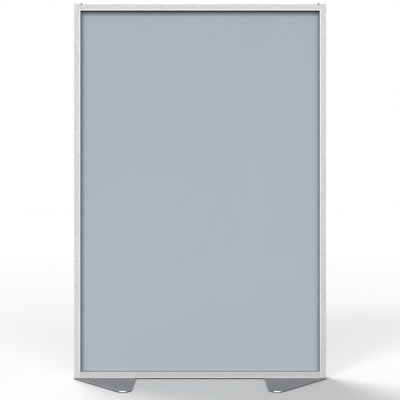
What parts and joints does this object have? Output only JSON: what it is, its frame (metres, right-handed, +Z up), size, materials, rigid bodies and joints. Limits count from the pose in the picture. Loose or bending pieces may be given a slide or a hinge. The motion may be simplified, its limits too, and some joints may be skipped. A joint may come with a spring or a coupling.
{
  "type": "partition screen",
  "caption": "Tall free-standing partition screen: a silver aluminium frame round an opaque blue-grey panel, on flat grey steel feet that taper out to rounded tips.",
  "frame": {"origin": "on the floor, under the middle of the screen, at the bottom centre of its box", "axes": "+X across the screen to the right as its front is seen, +Y from its front to its back, +Z up"},
  "size_m": [1.22, 0.5514, 1.8225],
  "materials": {
    "anodised_frame": "satin",
    "cover_strip": "satin",
    "cap_plastic": "satin",
    "clip_plastic": "matte",
    "honeycomb_core": "matte",
    "edge_board": "matte",
    "vinyl_facing": "matte",
    "gasket_rubber": "matte",
    "block_rubber": "matte",
    "foot_paint": "satin",
    "zinc_steel": "satin",
    "pad_rubber": "matte"
  },
  "bodies": {
    "root": {"left_stile": "anodised_frame", "right_stile": "anodised_frame", "top_rail": "anodised_frame", "bottom_rail": "anodised_frame", "left_stile_strip": "cover_strip", "right_stile_strip": "cover_strip", "top_rail_strip": "cover_strip", "left_top_cap": "cap_plastic", "right_top_cap": "cap_plastic", "left_cap_clip": "clip_plastic", "right_cap_clip": "clip_plastic", "panel_core": "honeycomb_core", "core_left_board": "edge_board", "core_right_board": "edge_board", "core_top_board": "edge_board", "core_bottom_board": "edge_board", "front_facing": "vinyl_facing", "back_facing": "vinyl_facing", "front_left_gasket": "gasket_rubber", "front_right_gasket": "gasket_rubber", "front_top_gasket": "gasket_rubber", "front_bottom_gasket": "gasket_rubber", "back_left_gasket": "gasket_rubber", "back_right_gasket": "gasket_rubber", "back_top_gasket": "gasket_rubber", "back_bottom_gasket": "gasket_rubber", "left_setting_block": "block_rubber", "right_setting_block": "block_rubber", "left_foot": "foot_paint", "right_foot": "foot_paint", "left_frame_screws": "zinc_steel", "right_frame_screws": "zinc_steel", "left_foot_bolts": "zinc_steel", "right_foot_bolts": "zinc_steel", "left_nut_bar": "zinc_steel", "right_nut_bar": "zinc_steel", "left_foot_pads": "pad_rubber", "right_foot_pads": "pad_rubber"}
  },
  "joints": []
}
